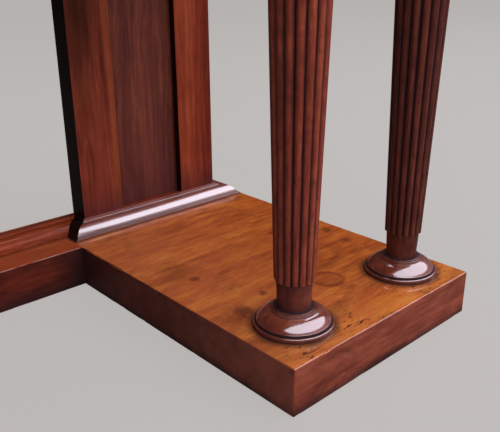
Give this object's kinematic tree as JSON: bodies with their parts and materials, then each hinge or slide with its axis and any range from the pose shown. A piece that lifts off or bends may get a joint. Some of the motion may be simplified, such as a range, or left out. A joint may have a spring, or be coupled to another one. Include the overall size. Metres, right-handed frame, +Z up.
{
  "type": "pier table",
  "caption": "Mahogany pier table: end platforms with reeded tapering legs and panelled pilasters, a low back plinth between them, a plain frieze and a solid top.",
  "frame": {"origin": "on the floor under the middle of the table's overall box", "axes": "+X along the table, -Y out of its front, +Z up"},
  "size_m": [1.372, 0.479, 0.914],
  "materials": {
    "platform_mahogany": "polished",
    "pilaster_mahogany": "polished",
    "panel_mahogany": "polished",
    "turned_mahogany": "polished",
    "moulding_mahogany": "polished",
    "frieze_mahogany": "polished",
    "top_mahogany": "polished",
    "carcase_pine": "sawn, unfinished",
    "dowel_beech": "turned, unfinished",
    "screw_steel": "dull"
  },
  "bodies": {
    "root": {"back_plinth": "platform_mahogany", "back_plinth_moulding": "moulding_mahogany", "frieze_back_rail": "frieze_mahogany", "frieze_bead_front": "moulding_mahogany", "frieze_bead_left": "moulding_mahogany", "frieze_bead_right": "moulding_mahogany", "frieze_front_rail": "frieze_mahogany", "frieze_glue_blocks": "carcase_pine", "frieze_left_rail": "frieze_mahogany", "frieze_right_rail": "frieze_mahogany", "leg_capital_left_inner": "turned_mahogany", "leg_capital_left_outer": "turned_mahogany", "leg_capital_right_inner": "turned_mahogany", "leg_capital_right_outer": "turned_mahogany", "pilaster_left_base_moulding_front": "moulding_mahogany", "pilaster_left_base_moulding_inner": "moulding_mahogany", "pilaster_left_base_moulding_outer": "moulding_mahogany", "pilaster_left_bottom_rail": "pilaster_mahogany", "pilaster_left_cap_moulding_front": "moulding_mahogany", "pilaster_left_cap_moulding_inner": "moulding_mahogany", "pilaster_left_cap_moulding_outer": "moulding_mahogany", "pilaster_left_inner_stile": "pilaster_mahogany", "pilaster_left_outer_stile": "pilaster_mahogany", "pilaster_left_panel": "panel_mahogany", "pilaster_left_top_rail": "pilaster_mahogany", "pilaster_right_base_moulding_front": "moulding_mahogany", "pilaster_right_base_moulding_inner": "moulding_mahogany", "pilaster_right_base_moulding_outer": "moulding_mahogany", "pilaster_right_bottom_rail": "pilaster_mahogany", "pilaster_right_cap_moulding_front": "moulding_mahogany", "pilaster_right_cap_moulding_inner": "moulding_mahogany", "pilaster_right_cap_moulding_outer": "moulding_mahogany", "pilaster_right_inner_stile": "pilaster_mahogany", "pilaster_right_outer_stile": "pilaster_mahogany", "pilaster_right_panel": "panel_mahogany", "pilaster_right_top_rail": "pilaster_mahogany", "platform_left": "platform_mahogany", "platform_right": "platform_mahogany", "plinth_dowels": "dowel_beech", "reeded_leg_left_inner": "turned_mahogany", "reeded_leg_left_outer": "turned_mahogany", "reeded_leg_right_inner": "turned_mahogany", "reeded_leg_right_outer": "turned_mahogany", "soffit_left": "carcase_pine", "soffit_right": "carcase_pine", "table_top": "top_mahogany", "top_bearer_left": "carcase_pine", "top_bearer_right": "carcase_pine", "top_screws": "screw_steel", "turned_foot_left_inner": "turned_mahogany", "turned_foot_left_outer": "turned_mahogany", "turned_foot_right_inner": "turned_mahogany", "turned_foot_right_outer": "turned_mahogany"}
  },
  "joints": []
}
